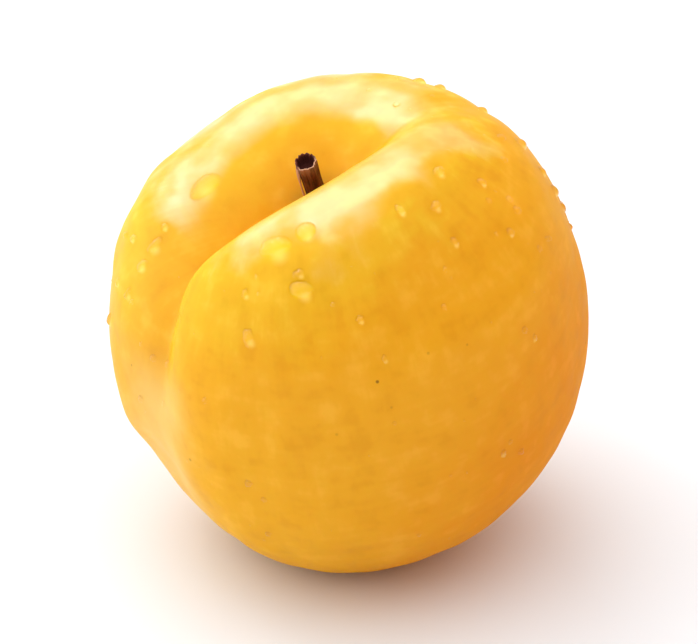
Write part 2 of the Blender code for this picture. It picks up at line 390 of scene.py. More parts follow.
class Shader:
    """The nodes of one material or of the world."""

    def __init__(self, owner):
        owner.use_nodes = True
        self.tree = owner.node_tree
        self.tree.nodes.clear()

    def node(self, kind, settings=None, sockets=None, output=0):
        """Adds a node: its type, its settings, then the values or links of its sockets."""
        made = self.tree.nodes.new(kind)
        for name, setting in (settings or {}).items():
            setattr(made, name, setting)
        for name, value in (sockets or {}).items():
            if isinstance(value, Value):
                self.tree.links.new(value.socket, made.inputs[name])
            else:
                made.inputs[name].default_value = value
        return Value(self, made.outputs[output]) if made.outputs else None

    def local(self, matrix):
        """Places in the axes of that matrix."""
        place = self.node("ShaderNodeTexCoord", output="Object")
        move, turn, scale = matrix.decompose()
        sockets = {"Vector": place, "Location": move, "Rotation": turn.to_euler(), "Scale": scale}
        return self.node("ShaderNodeMapping", {"vector_type": "TEXTURE"}, sockets)

    def marked(self, name):
        """A value that the piece keeps for each of its points."""
        return self.node("ShaderNodeAttribute", {"attribute_name": name}, output="Fac")

    def blend(self, share, first, second):
        """A colour from the first to the second."""
        settings = {"data_type": "RGBA", "clamp_factor": True}
        return self.node("ShaderNodeMix", settings, {0: share, 6: first, 7: second}, 2)

    def vector(self, operation, *values, output=0):
        """Vector maths."""
        settings = {"operation": operation}
        return self.node("ShaderNodeVectorMath", settings, dict(enumerate(values)), output)

    def toward(self, way, heading):
        """How far a way points towards the heading, from -1 to 1."""
        return self.vector("DOT_PRODUCT", way, tuple(heading), output=1)

    def rise(self, value, low, high):
        """0 where the value is low, 1 where it is high, smooth between."""
        settings = {"interpolation_type": "SMOOTHSTEP"}
        return self.node("ShaderNodeMapRange", settings, {0: value, 1: low, 2: high})

    def noise(self, place, scale, detail=2.0, roughness=0.5):
        """Cloudy noise around 0.5."""
        sockets = {"Vector": place, "Scale": scale, "Detail": detail, "Roughness": roughness}
        return self.node("ShaderNodeTexNoise", None, sockets)

    def bump(self, height, metres, normal=None):
        """A normal for a surface that rises by that many metres where the height is 1."""
        sockets = {"Height": height, "Distance": metres}
        if normal is not None:
            sockets["Normal"] = normal
        return self.node("ShaderNodeBump", None, sockets)

    def finish(self, surface):
        """Puts the shader on the surface."""
        self.node("ShaderNodeOutputMaterial", None, {"Surface": surface})


def opaque(colour):
    """A colour with full alpha."""
    return (*colour, 1.0)


# --- settings ---


def colour_property(name, description, default):
    """A colour that the user can change."""
    return bpy.props.FloatVectorProperty(
        name=name, description=description, default=default, size=3, min=0.0, max=1.0, subtype="COLOR"
    )


def number_property(name, description, default, least, most, unit="LENGTH"):
    """A length or a power that the user can change."""
    return bpy.props.FloatProperty(
        name=name, description=description, default=default, min=least, max=most, unit=unit
    )


class PlumFruitSettings(bpy.types.PropertyGroup):
    """Size and colours of the fruit."""

    width: number_property(
        "Width", "Size of the fruit from side to side", FRUIT_HIGH.x - FRUIT_LOW.x, 0.02, 0.15
    )
    golden: colour_property("Golden", "Skin on the cheeks", (0.83, 0.396, 0.016))
    # Deep orange: riper skin with painted shade and warm bounce, low down and on the right as the plum
    # lies.
    deep: colour_property("Deep orange", "Skin low down and on the sunny cheek", (0.76, 0.27, 0.013))
    pale: colour_property("Pale yellow", "Skin on the shoulders", (0.82, 0.458, 0.018))
    lemon: colour_property("Lemon", "The yellowest blotches on the shoulders", (0.80, 0.53, 0.020))
    # Bloom: waxy bloom low in the suture, with a painted sheen of the bright surroundings.
    bloom_and_sheen: colour_property("Bloom", "Pale bloom low in the suture", (0.86, 0.56, 0.16))
    # Under drops: painted light that a water drop gathers on the skin below it.
    drop_light: colour_property("Under drops", "Skin that a water drop brightens", (0.86, 0.60, 0.015))
    glint: colour_property("Glint", "Skin on which a drop gathers light", (0.97, 0.72, 0.16))
    # Russet: dull skin round the stalk's foot, darkened further as painted shade at the bottom of the
    # cavity.
    russet_and_shade: colour_property("Russet", "Dull skin round the foot of the stalk", (0.42, 0.20, 0.010))
    speck: colour_property("Speck", "The few dark specks in the skin", (0.16, 0.06, 0.008))


class PlumStalkSettings(bpy.types.PropertyGroup):
    """Size and colours of the stalk."""

    length: number_property(
        "Length", "Length of the stub from its foot to its cut end", 0.0085, 0.002, 0.04
    )
    thickness: number_property("Thickness", "Thickness of the shaft", 0.0022, 0.0005, 0.006)
    bark: colour_property("Bark", "Bark between the ribs", (0.040, 0.006, 0.003))
    rib: colour_property("Ribs", "Bark on the ribs", (0.170, 0.028, 0.010))
    # Cut edge: the dry edge of the cut end, painted paler as a highlight on the side that faces the
    # light.
    edge: colour_property("Cut edge", "Dry edge of the cut end", (0.68, 0.34, 0.19))
    pith: colour_property("Pith", "Inside of the hollow end", (0.060, 0.009, 0.005))


class PlumDropSettings(bpy.types.PropertyGroup):
    """Number and size of the water drops."""

    count: bpy.props.IntProperty(
        name="Small drops",
        description="Number of the small drops that are scattered over the skin",
        default=150,
        min=0,
        max=1000,
    )
    widest: number_property(
        "Widest small drop", "Width of the widest of the small drops", 0.0011, 0.0002, 0.004
    )


class PlumStageSettings(bpy.types.PropertyGroup):
    """Floor, light and camera."""

    floor: colour_property("Floor", "Colour of the floor", (0.83, 0.87, 0.91))
    light: number_property("Softboxes", "Power of the softboxes together", 1.4, 0.0, 100.0, "POWER")
    bounce: number_property(
        "Warm bounce",
        "Power of the warm light that the next fruit would throw from the right",
        0.3,
        0.0,
        20.0,
        "POWER",
    )
    sky: bpy.props.FloatProperty(
        name="Surround",
        description="Brightness of the pale surroundings",
        default=1.0,
        min=0.0,
        max=10.0,
    )
    distance: number_property(
        "Camera distance", "From the camera to the middle of the plum", CAMERA_DISTANCE, 0.1, 10.0
    )
    height: bpy.props.FloatProperty(
        name="Camera height",
        description="Angle at which the camera looks down",
        default=math.radians(CAMERA_HEIGHT),
        min=0.0,
        max=math.pi / 2.0,
        subtype="ANGLE",
    )


# --- fruit ---


def add_piece(name, points, faces, matrix):
    """A smooth closed mesh piece, with its points carried to their place."""
    form = bmesh.new()
    corners = [form.verts.new(matrix @ Vector(point)) for point in points]
    for face in faces:
        form.faces.new([corners[index] for index in face])
    bmesh.ops.recalc_face_normals(form, faces=form.faces[:])
    mesh = bpy.data.meshes.new(name)
    form.to_mesh(mesh)
    form.free()
    mesh.shade_smooth()
    made = bpy.data.objects.new(name, mesh)
    bpy.context.scene.collection.objects.link(made)
    return made


def mark(piece, name, values):
    """Keeps a value for each point of the piece, which its material reads."""
    piece.data.attributes.new(name, "FLOAT", "POINT").data.foreach_set("value", values)


def belt(first, second, count):
    """Quads between two rings of that many points, which start at those indices."""
    return [
        (first + i, second + i, second + (i + 1) % count, first + (i + 1) % count) for i in range(count)
    ]


def skin_mesh(level):
    """Points and faces of the skin, and how deep each point lies in the cavity and in the suture."""
    polar, turn = skin_grid()
    deep, fold = hollows(polar, turn)
    hollow = np.clip(deep / CAVITY_DEPTH, 0.0, 1.0).reshape(-1)
    fold = np.clip(fold / GROOVE_DEPTH, 0.0, 1.0).reshape(-1)
    ends = np.array([NEAR_END, math.pi - NEAR_END])
    tips = skin_points(ends, np.zeros(2))
    points = np.vstack([skin_points(polar, turn).reshape(-1, 3), tips])
    stalk_end, blossom_end = len(points) - 2, len(points) - 1
    faces = []
    for ring in range(RINGS - 2):
        faces += belt(ring * MERIDIANS, (ring + 1) * MERIDIANS, MERIDIANS)
    last = (RINGS - 2) * MERIDIANS
    faces += [(stalk_end, i, (i + 1) % MERIDIANS) for i in range(MERIDIANS)]
    faces += [(last + (i + 1) % MERIDIANS, last + i, blossom_end) for i in range(MERIDIANS)]
    return flatten(points, level), faces, np.append(hollow, [1.0, 0.0]), np.append(fold, [0.0, 0.0])


SHEEN_MIDDLE = (8.0, -105.0)  # middle of the moist sheen: polar angle and turn in degrees
SHADED_CHEEK_WAY = (0.84, -0.05, -0.54)  # the way that the deeper orange faces, in the world: riper skin with painted shade and warm bounce low on the right
WINDOW_WAY = (-1.0, 0.0, 0.0)  # the side that shines faintly, in the world

# Grain of the skin: scale of each kind of noise, in features per metre, or per radius of the fruit
# for streaks and smears.
CLOUDS = 130.0
HAZE = 150.0
PATCHES = 300.0
RIPPLES = 340.0
DOTS = 420.0
FLECKS = 900.0
PORES = 1700.0
STREAKS = 16.0
SMEARS = 1.6
STREAK_STRETCH = (0.0, 0.0, 12.0)  # thin lines down the cheeks
SMEAR_STRETCH = (2.6, 2.6, 13.0)  # flat bands round the fruit
RIPPLE_HEIGHT = 0.00007
PORE_HEIGHT = 0.000010

# Light that a drop gathers on the skin, as parts of the width of the drop: how far off, how wide,
# and how strong it is at most.
GLINT_OFFSET = 0.34
GLINT_REACH = 0.36
GLINT_STRENGTH = 0.50

# Specks in the skin: polar angle and turn in degrees, radius in metres, and how dark.
SPECKS = (
    (66.7, 65.1, 0.00026, 0.75),
    (66.7, 89.8, 0.00020, 0.25),
    (64.2, 79.4, 0.00024, 0.22),
    (76.5, -13.1, 0.00022, 0.35),
    (77.7, 52.8, 0.00024, 0.20),
    (73.7, 66.9, 0.00020, 0.22),
    (58.0, 168.0, 0.00024, 0.60),
    (84.0, -125.0, 0.00022, 0.40),
    (71.0, -96.0, 0.00022, 0.25),
    (102.0, 138.0, 0.00024, 0.30),
    (92.0, 10.5, 0.00026, 0.45),
)


def paint_skin(settings, name, matrix):
    """Golden skin, deeper orange low down and on the right (riper skin with painted shade and warm
    bounce), paler on the shoulders, moist and waxy.
    """
    material = bpy.data.materials.new(name)
    shader = Shader(material)
    place = shader.local(matrix)
    way = shader.vector("NORMALIZE", place)
    upward = shader.toward(way, (0.0, 0.0, 1.0))
    skyward = shader.toward(way, directions(*np.radians(SHEEN_MIDDLE)))
    cheek = shader.toward(way, in_fruit_axes(SHADED_CHEEK_WAY))
    hollow, fold, under = shader.marked("hollow"), shader.marked("fold"), shader.marked("drop_cover_and_light")

    clouds = shader.noise(place, CLOUDS, 3.0)
    patches = shader.noise(place, PATCHES)
    flecks = shader.noise(place, FLECKS, 3.0, 0.6)
    outward = shader.vector("NORMALIZE", shader.vector("MULTIPLY", place, (1.0, 1.0, 0.0)))
    meridian = shader.vector("ADD", outward, shader.vector("MULTIPLY", place, STREAK_STRETCH))
    streaks = shader.noise(meridian, STREAKS, 4.0, 0.6)
    streaks = (streaks - 0.5) * shader.rise(upward, 0.93, 0.75) + 0.5
    smears = shader.noise(shader.vector("MULTIPLY", way, SMEAR_STRETCH), SMEARS, 2.0, 0.45)
    haze = shader.noise(place, HAZE, 1.6, 0.45)

    mottle = (clouds - 0.5) * 0.9 + (streaks - 0.5) * 0.5
    mottle = mottle + (patches - 0.5) * 0.4 + (flecks - 0.5) * 0.3
    # Deeper orange low down and on the right: riper skin with painted shade and warm bounce.
    ripe_and_shaded = shader.rise(cheek + mottle * 0.5, 0.15, 1.0)
    fair = shader.rise(upward + mottle * 0.5 - hollow - cheek * 0.46, 0.60, 0.95)
    colour = shader.blend(ripe_and_shaded, opaque(settings.golden), opaque(settings.deep))
    colour = shader.blend(fair, colour, opaque(settings.pale))
    lemon = shader.rise(smears * 0.5 + patches * 0.5, 0.49, 0.60)
    lemon = lemon * shader.rise(skyward - hollow, 0.60, 0.79)
    colour = shader.blend(lemon * 0.5, colour, opaque(settings.lemon))
    lighter = shader.vector("MULTIPLY", colour, (1.07, 1.13, 2.0))
    darker = shader.vector("MULTIPLY", colour, (0.94, 0.90, 0.8))
    blotch = patches * 0.45 + streaks * 0.25 + smears * 0.2 + flecks * 0.1
    colour = shader.blend(shader.rise(blotch, 0.50, 0.64), colour, lighter)
    colour = shader.blend(shader.rise(blotch, 0.50, 0.36), colour, darker)
    # Russet round the stalk's foot, with painted shade deep in the cavity.
    russet_and_shade = shader.rise(upward + (patches - 0.5) * 0.02, 0.960, 0.992)
    colour = shader.blend(russet_and_shade * 0.75, colour, opaque(settings.russet_and_shade))
    dots = shader.node("ShaderNodeTexVoronoi", None, {"Vector": place, "Scale": DOTS})
    colour = shader.blend(0.22 - 0.22 * shader.rise(dots, 0.03, 0.11), colour, opaque(settings.pale))
    # Painted light that the water drops gather on the skin under them.
    colour = shader.blend(under * 0.6, colour, opaque(settings.drop_light))
    # Pale low in the suture: waxy bloom and painted sheen.
    valley = shader.rise(fold + (patches - 0.5) * 0.2, 0.03, 0.45) * shader.rise(upward, 0.42, 0.10)
    colour = shader.blend(valley * 0.75, colour, opaque(settings.bloom_and_sheen))
    for polar, turn, across, down, _ in PLACED_DROPS:
        size = max(across, down)
        if size >= GLINT_FROM:
            middle = skin_point(polar, turn)
            spot = skin_along(unit(middle - in_fruit_axes(LIT_FROM) * size * GLINT_OFFSET))
            away = shader.vector("DISTANCE", place, tuple(spot), output=1)
            share = GLINT_STRENGTH * shader.rise(away, size * GLINT_REACH, 0.0)
            colour = shader.blend(share, colour, opaque(settings.glint))
    for polar, turn, radius, dark in SPECKS:
        away = shader.vector("DISTANCE", place, tuple(skin_point(polar, turn)), output=1)
        share = dark * shader.rise(away, radius, radius * 0.4)
        colour = shader.blend(share, colour, opaque(settings.speck))

    normal = shader.bump(shader.noise(place, RIPPLES), RIPPLE_HEIGHT)
    normal = shader.bump(shader.noise(place, PORES), PORE_HEIGHT, normal)

    film = shader.rise(haze * 0.45 + smears * 0.30 + patches * 0.25, 0.38, 0.60)
    open_skin = shader.rise(hollow + (smears - 0.5) * 0.2, 0.36, 0.20)
    damp = shader.rise(skyward + (haze - 0.5) * 0.35 + mottle * 0.10, 0.71, 0.85)
    damp = damp * (0.44 + film * 0.42) * open_skin
    faint = shader.rise(shader.toward(way, in_fruit_axes(WINDOW_WAY)), 0.50, 0.95)
    damp = (damp + 0.03 - ripe_and_shaded * 0.03 + faint * 0.08) * (1.0 - under)
    surface = shader.node(
        "ShaderNodeBsdfPrincipled",
        {"subsurface_method": "RANDOM_WALK"},
        {
            "Base Color": colour,
            "Roughness": 0.46 + (patches - 0.5) * 0.35 + ripe_and_shaded * 0.15,
            "Specular IOR Level": 0.025,
            "Subsurface Weight": 0.35,
            "Subsurface Radius": (1.0, 0.38, 0.08),
            "Subsurface Scale": 0.003,
            "Coat Weight": damp,
            "Coat Roughness": 0.28,
            "Coat IOR": 2.4,
            "Normal": normal,
        },
    )
    shader.finish(surface)
    return material


def drops_cover_and_light(points):
    """How far a water drop covers and clears the point of the skin, from 0 to 1, which also sets the
    painted light that the drop gathers there, more on its side away from the light.
    """
    covered = np.zeros(len(points))
    for polar, turn, across, down, twist in PLACED_DROPS:
        middle = skin_point(polar, turn)
        side, slope, normal = drop_axes(middle, twist)
        offset = points - middle
        away = np.hypot(offset @ side * 2.0 / across, offset @ slope * 2.0 / down)
        away = away + np.abs(offset @ normal) / UNDER_DROP_REACH
        clear = CLEAR_UNDER_BIG if max(across, down) > BIG_DROP else CLEAR_UNDER_SMALL
        # The painted light is stronger on the side of the drop away from the light.
        far_side = 0.75 - 0.25 * (offset @ in_fruit_axes(LIT_FROM)) * 2.0 / max(across, down)
        inside = 1.0 - ease(0.85, 1.05, away)
        covered = np.maximum(covered, clear * np.clip(far_side, 0.0, 1.0) * inside)
    return covered


class PLUM_OT_fruit(bpy.types.Operator):
    """Grows the fruit on its flat spot"""

    bl_idname = "plum.fruit"
    bl_label = "Grow Fruit"

    def execute(self, context):
        settings = context.scene.plum_fruit
        matrix, level = stand(settings.width)
        points, faces, hollow, fold = skin_mesh(level)
        fruit = add_piece("plum_fruit", points, faces, matrix)
        mark(fruit, "hollow", hollow)
        mark(fruit, "fold", fold)
        mark(fruit, "drop_cover_and_light", drops_cover_and_light(points))
        fruit.data.materials.append(paint_skin(settings, "yellow plum skin", matrix))
        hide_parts("fruit")
        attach(fruit, BODY)
        return {"FINISHED"}


# --- stalk ---

STALK_SIDES = 120
STALK_STEPS = 44
STALK_SINKS = 0.0006  # how far the foot goes into the floor of the cavity
STALK_SEED = 3
PHASES = 6.28  # range from which the phase of a wave is drawn
# Ribs of the bark: how many go round the stalk, and their height as a part of its radius.
RIBS = ((5, 0.030), (9, 0.030), (14, 0.022), (23, 0.014))
CHIPS = 45  # places round the cut end at which its edge is chipped
# Where the stalk is wider: by what part of its radius, and within what length of its end.
TOP_FLARE = (0.10, 0.0014)
FOOT_FLARE = (0.35, 0.0011)
SMOOTH_FOOT = (0.4, 0.0015)  # part of the ribs that fades at the foot, and within what length
WEATHERED_TOP = (0.30, 0.0009)  # how pale the bark is below the cut end, and within what length
# Sides of the stalk, in degrees about it: where the cut end tore, where its dry edge shows palest
# as a painted highlight on the side that faces the light, and where a strip of bark came loose.
TORN_SIDE = -148.0
LIT_EDGE_SIDE = 42.0
PEELED_SIDE = -46.0
# Loose strip of bark: its steps, its thickness in metres, and how pale it is.
PEEL_STEPS = 16
PEEL_THICKNESS = 0.00009
PEEL_PALENESS = 0.6
PEEL_POINTS = 4 * (PEEL_STEPS + 1)
BARK_FIBRES = 6500.0
BARK_PATCHES = 1500.0
FIBRE_STRETCH = (1.0, 1.0, 0.12)
FIBRE_HEIGHT = 0.00006


def toward(around, side):
    """1 on that side of the stalk, 0 on the other."""
    return ease(-0.2, 0.7, np.cos(around - math.radians(side)))


def stalk_mesh(settings):
    """The stalk, which stands on its foot along +Z: points, faces, how pale (weathered bark, and a
    painted highlight on the lit side of the cut edge) and how far inside.
    """
    draw = np.random.RandomState(STALK_SEED)
    around = 2.0 * math.pi * np.arange(STALK_SIDES) / STALK_SIDES
    shaft, length = settings.thickness / 2.0, settings.length
    ribs = np.zeros(STALK_SIDES)
    for waves, height in RIBS:
        ribs += height * np.sin(waves * around + draw.uniform(0.0, PHASES))
    torn, lit_edge_side = toward(around, TORN_SIDE), toward(around, LIT_EDGE_SIDE)
    chip_places = np.linspace(0.0, 2.0 * math.pi, CHIPS)
    chips = np.abs(np.interp(around, chip_places, draw.uniform(-1.0, 1.0, CHIPS)))
    teeth = 0.00003 * np.sin(5.0 * around) + (0.00004 + 0.00024 * torn) * chips
    rings = []  # radius, height, how pale and how far inside
    for step in range(STALK_STEPS + 1):
        share = step / STALK_STEPS
        height = -STALK_SINKS + (length + STALK_SINKS) * share
        from_top, from_foot = length - height, height + STALK_SINKS
        radius = shaft * (1.0 + TOP_FLARE[0] * bell(from_top, TOP_FLARE[1]))
        radius *= 1.0 + FOOT_FLARE[0] * bell(from_foot, FOOT_FLARE[1])
        sway = 0.24 * math.sin(7.0 * share + 1.0) + 0.16 * math.sin(17.0 * share)
        fade = 1.0 - SMOOTH_FOOT[0] * bell(from_foot, SMOOTH_FOOT[1])
        weathered = WEATHERED_TOP[0] * bell(from_top, WEATHERED_TOP[1])
        radius = radius * (1.0 + ribs * fade * (1.0 + sway))
        rings.append((radius, height + teeth * share**6, weathered, 0.0))
    top_radius, top_height = rings[-1][0], rings[-1][1]
    inner = 1.0 + 0.06 * torn * np.sin(17.0 * around)
    rings += [
        (top_radius * 0.97, top_height + 0.00004, lit_edge_side, 0.0),
        (top_radius * 0.87, top_height + 0.00002, lit_edge_side, 0.0),
        (top_radius * 0.82 * inner, top_height - 0.00012, 0.3 * lit_edge_side, 0.7),
        (top_radius * 0.74 * inner, length - 0.00045, 0.0, 1.0),
        (top_radius * 0.62, length - 0.00090, 0.0, 1.0),
        (top_radius * 0.35, length - 0.00105, 0.0, 1.0),
    ]
    points, pale, inside, faces = [], [], [], []
    for radius, height, how_pale, how_inside in rings:
        height = height + np.zeros(STALK_SIDES)
        points += list(zip(radius * np.cos(around), radius * np.sin(around), height))
        pale += list(how_pale + np.zeros(STALK_SIDES))
        inside += [how_inside] * STALK_SIDES
    for ring in range(len(rings) - 1):
        faces += belt(ring * STALK_SIDES, (ring + 1) * STALK_SIDES, STALK_SIDES)
    last, bottom = len(points) - STALK_SIDES, len(points) + 1
    points += [(0.0, 0.0, length - 0.00100), (0.0, 0.0, -STALK_SINKS)]
    pale += [0.0, 0.0]
    inside += [1.0, 0.0]
    faces += [(last + i, last + (i + 1) % STALK_SIDES, bottom - 1) for i in range(STALK_SIDES)]
    faces += [((i + 1) % STALK_SIDES, i, bottom) for i in range(STALK_SIDES)]
    add_peel(points, faces, pale, shaft, length)
    inside += [0.0] * (len(points) - len(inside))
    return points, faces, pale, inside


def add_peel(points, faces, pale, shaft, length):
    """A thin strip of bark that hangs off one side of the stalk, from its cut end down."""
    start = len(points)
    side = math.radians(PEELED_SIDE)
    for step in range(PEEL_STEPS + 1):
        share = step / PEEL_STEPS
        height = length * (0.97 - 0.72 * share)
        away = shaft * (1.05 + 0.26 * math.sin(math.pi * share) ** 1.5 + 0.06 * math.sin(9.0 * share))
        half = 0.00030 * (1.0 - 0.5 * share) + 0.00006 * math.sin(11.0 * share)
        swing = 0.00012 * math.sin(6.0 * share)
        section = ((-half, 0.0), (half, 0.0), (half, PEEL_THICKNESS), (-half, PEEL_THICKNESS))
        for across, out in section:
            out, across = away + out, across + swing
            x = out * math.cos(side) - across * math.sin(side)
            y = out * math.sin(side) + across * math.cos(side)
            points.append((x, y, height))
            pale.append(PEEL_PALENESS)
    for step in range(PEEL_STEPS):
        faces += belt(start + 4 * step, start + 4 * (step + 1), 4)
    end = start + 4 * PEEL_STEPS
    faces += [(start, start + 1, start + 2, start + 3), (end + 3, end + 2, end + 1, end)]


def paint_bark(settings, name, matrix):
    """Reddish-brown bark with fine ribs, a pale dry cut edge with a painted highlight on its lit side,
    and dark pith.
    """
    material = bpy.data.materials.new(name)
    shader = Shader(material)
    place = shader.local(matrix)
    fibres = shader.noise(shader.vector("MULTIPLY", place, FIBRE_STRETCH), BARK_FIBRES, 3.0, 0.6)
    patches = shader.noise(place, BARK_PATCHES)
    edge, inside = shader.marked("pale"), shader.marked("inside")
    ribbed = shader.rise(fibres * 0.7 + patches * 0.3, 0.35, 0.68)
    colour = shader.blend(ribbed, opaque(settings.bark), opaque(settings.rib))
    colour = shader.blend(inside, colour, opaque(settings.pith))
    # The pale edge is the dry cut edge with a painted highlight on its lit side.
    colour = shader.blend(edge * shader.rise(fibres, 0.2, 0.5), colour, opaque(settings.edge))
    surface = shader.node(
        "ShaderNodeBsdfPrincipled",
        None,
        {
            "Base Color": colour,
            "Roughness": 0.5 + (patches - 0.5) * 0.3 + inside * 0.4,
            "Specular IOR Level": 0.3,
            "Normal": shader.bump(fibres, FIBRE_HEIGHT),
        },
    )
    shader.finish(surface)
    return material


class PLUM_OT_stalk(bpy.types.Operator):
    """Grows the cut stub of the stalk in the cavity"""

    bl_idname = "plum.stalk"
    bl_label = "Grow Stalk"

    def execute(self, context):
        settings = context.scene.plum_stalk
        matrix, _ = stand(context.scene.plum_fruit.width)
        heading = Matrix.Rotation(math.radians(STALK_LEAN_TOWARD), 4, "Z")
        tilt = heading @ Matrix.Rotation(math.radians(STALK_LEAN), 4, "Y")
        turned = matrix.to_quaternion().to_matrix().to_4x4() @ tilt
        points, faces, pale, inside = stalk_mesh(settings)
        shaft = points[:-PEEL_POINTS]  # the loose strip is left out of the fit to the box
        shown = [turned.to_3x3() @ Vector(point) for point in shaft if point[2] >= 0.0]
        low = Vector(min(point[axis] for point in shown) for axis in range(3))
        high = Vector(max(point[axis] for point in shown) for axis in range(3))
        foot = (STEM_LOW + STEM_HIGH - low - high) / 2.0
        axes = Matrix.Translation(foot) @ turned
        stalk = add_piece("plum_stalk", points, faces, axes)
        mark(stalk, "pale", pale)
        mark(stalk, "inside", inside)
        stalk.data.materials.append(paint_bark(settings, "plum stalk bark", axes))
        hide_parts("stem")
        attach(stalk, BODY)
        return {"FINISHED"}


# --- water drops ---

DROP_SEED = 21
LIT_FROM = (-0.50, 0.50, 0.70)  # the way that most of the light comes from
GLINT_FROM = 0.0011  # width from which a drop gathers light on its far side, in metres
BIG_DROP = 0.0024  # width above which a drop is one of the big ones, in metres
DROP_HEIGHT = 0.15  # of its two widths together
EDGE_SINKS = 0.0001  # how far the edge of a drop goes under the skin, in metres
SLOPE_STEP = 0.0002  # how far apart the skin is felt for its slope, in metres
PLACED_RINGS, PLACED_SIDES = 10, 32
SCATTERED_RINGS, SCATTERED_SIDES = 5, 14
# Scattered drops gather on one side and stay out of the cavity and off the underside.
WET_WAY = (0.55, 0.25, 0.75)  # the way that the wettest side faces, in the world
CAVITY_MOUTH = 0.88  # cosine from the axis of the fruit
UNDERSIDE = -0.6  # cosine from straight up
# Clearing the skin also brightens it with painted light.
CLEAR_UNDER_BIG = 0.8  # how much a big drop clears the skin under it
CLEAR_UNDER_SMALL = 0.15
UNDER_DROP_REACH = 0.005  # how far above and below the drop that reaches, in metres
# Painted shade of the drops: a darker tint at the edge that faces the light.
EDGE_SHADE_TINT = (0.62, 0.50, 0.10)  # of the water at the edge that faces the light
EDGE_SHADE_SHARE = 0.75
# Drops in their places: polar angle and turn in degrees, width across and down the slope in metres,
# and twist in degrees.
PLACED_DROPS = (
    (31.8, -43.4, 0.0025, 0.0044, 38.0),
    (30.3, 51.7, 0.0025, 0.0025, 0.0),
    (33.3, 38.6, 0.0040, 0.0026, -14.0),
    (43.1, 48.7, 0.0028, 0.0022, 0.0),
    (39.6, 48.5, 0.0013, 0.0011, 0.0),
    (44.4, 29.5, 0.0008, 0.0013, 0.0),
    (44.0, 34.3, 0.0006, 0.0006, 0.0),
    (54.0, 31.9, 0.0015, 0.0022, 0.0),
    (47.3, 57.9, 0.0007, 0.0007, 0.0),
    (51.9, 64.7, 0.0011, 0.0011, 0.0),
    (62.0, 68.3, 0.0007, 0.0011, 0.0),
    (47.6, -24.7, 0.0012, 0.0024, 0.0),
    (52.8, -21.7, 0.0012, 0.0018, 0.0),
    (37.1, 104.9, 0.0016, 0.0013, 0.0),
    (45.7, 101.7, 0.0009, 0.0014, 0.0),
    (73.2, 107.1, 0.0009, 0.0010, 0.0),
    (77.3, 109.7, 0.0007, 0.0011, 0.0),
    (32.7, 118.4, 0.0018, 0.0014, 0.0),
    (33.3, 91.7, 0.0011, 0.0016, 0.0),
    (53.9, 120.2, 0.0012, 0.0012, 0.0),
    (42.3, 127.9, 0.0011, 0.0014, 0.0),
    (43.7, -162.5, 0.0018, 0.0016, 0.0),
    (45.9, -168.9, 0.0014, 0.0014, 0.0),
    (50.5, 177.0, 0.0013, 0.0016, 0.0),
    (55.4, 161.8, 0.0017, 0.0019, 0.0),
    (61.1, 155.2, 0.0013, 0.0015, 0.0),
    (66.3, 153.4, 0.0015, 0.0017, 0.0),
    (72.6, 154.9, 0.0011, 0.0014, 0.0),
    (75.6, -31.5, 0.0012, 0.0019, 0.0),
    (54.0, -37.2, 0.0009, 0.0010, 0.0),
    (51.3, -31.8, 0.0013, 0.0009, 0.0),
    (60.3, -20.3, 0.0006, 0.0018, 0.0),
    (61.0, -17.4, 0.0006, 0.0008, 0.0),
    (61.7, -27.4, 0.0009, 0.0013, 0.0),
    (43.4, -28.6, 0.0012, 0.0010, 0.0),
    (49.3, 94.0, 0.0006, 0.0009, 0.0),
    (51.3, 115.6, 0.0006, 0.0006, 0.0),
    (100.5, 92.0, 0.0008, 0.0013, 0.0),
    (98.5, 94.5, 0.0006, 0.0008, 0.0),
)


def drop_axes(here, twist):
    """Unit vectors across a drop, along it and out of the skin, twisted by degrees from the slope."""
    middle = unit(here)
    side = unit(np.cross(middle, (0.0, 0.0, 1.0)))
    slope = np.cross(middle, side)
    beside = skin_along(unit(here + side * SLOPE_STEP))
    below = skin_along(unit(here + slope * SLOPE_STEP))
    normal = unit(np.cross(beside - here, below - here))
    if normal @ middle < 0.0:
        normal = -normal
    side = unit(np.cross(slope, normal))
    slope = np.cross(normal, side)
    slope = slope if slope[2] < 0.0 else -slope
    turned, twist = slope, math.radians(twist)
    slope = turned * math.cos(twist) + side * math.sin(twist)
    return side * math.cos(twist) - turned * math.sin(twist), slope, normal


